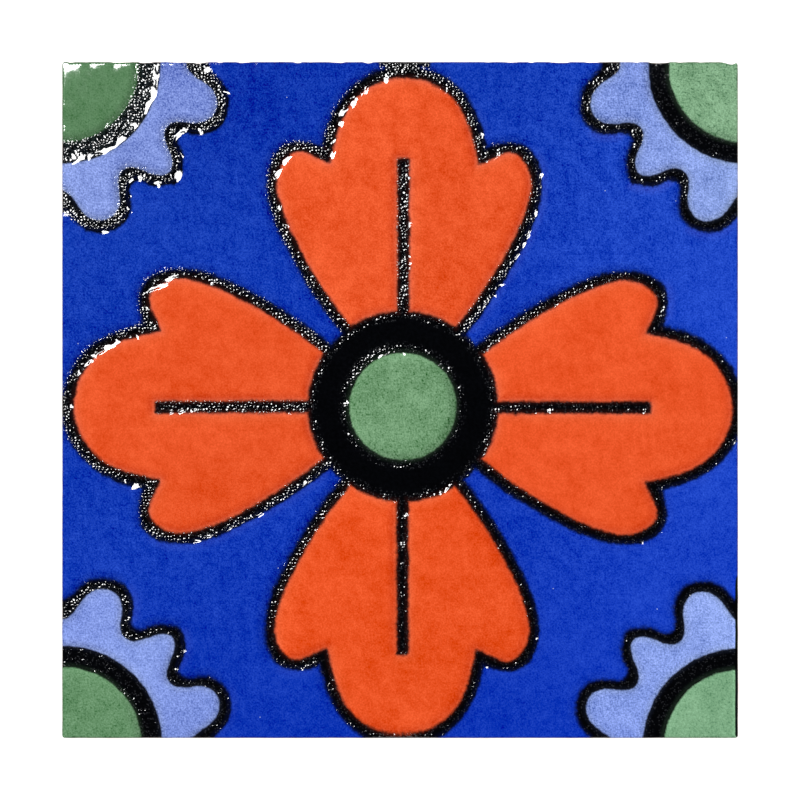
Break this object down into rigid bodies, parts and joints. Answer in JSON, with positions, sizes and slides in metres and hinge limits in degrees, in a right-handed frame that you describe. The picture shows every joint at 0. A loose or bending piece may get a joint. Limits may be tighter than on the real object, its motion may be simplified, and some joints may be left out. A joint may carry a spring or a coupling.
{
  "type": "patterned tile",
  "caption": "Square glazed ceramic tile with a petalled flower and corner rosettes in raised coloured glaze between sunken black lines, and a flat back.",
  "frame": {"origin": "centre of the flat back face, which is the bottom of the box", "axes": "+Z out of the glazed face, +X to the right and +Y up when the face is looked at straight on"},
  "size_m": [0.105, 0.105, 0.007],
  "materials": {
    "glazed_tile": "glossy hand-glazed, cobalt blue ground with orange, green, lavender and black"
  },
  "bodies": {
    "root": {"tile": "glazed_tile"}
  },
  "joints": []
}
